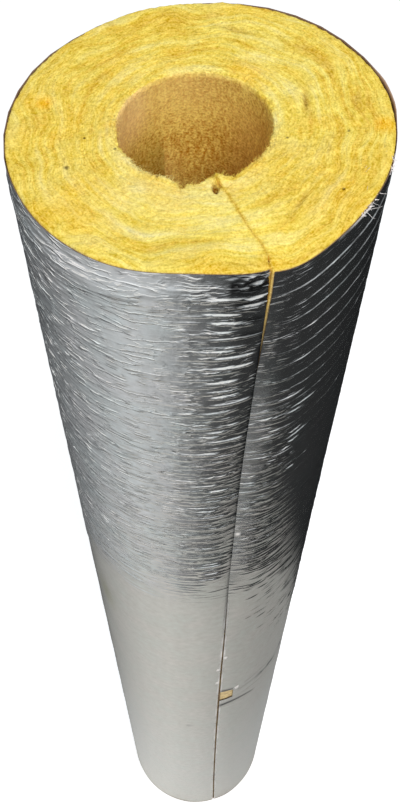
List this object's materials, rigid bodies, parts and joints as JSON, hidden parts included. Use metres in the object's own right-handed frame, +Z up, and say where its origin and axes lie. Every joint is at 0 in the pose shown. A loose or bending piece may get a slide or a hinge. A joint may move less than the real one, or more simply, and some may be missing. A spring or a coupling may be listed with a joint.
{
  "type": "pipe insulation section",
  "caption": "Rigid glass wool tube in a wrinkled foil facing, slit along its length so that it opens and closes round a pipe.",
  "frame": {"origin": "on the bore's axis, in the lower end face that the section stands on", "axes": "+Z up along the bore, -Y out through the lengthwise slit, +X to the right of the slit seen from the front"},
  "size_m": [0.1516, 0.1505, 1],
  "materials": {
    "glass_wool": "matt, fibrous",
    "foil": "bright, wrinkled"
  },
  "bodies": {
    "root": {"wool_tube": "glass_wool", "foil_facing": "foil"}
  },
  "joints": []
}
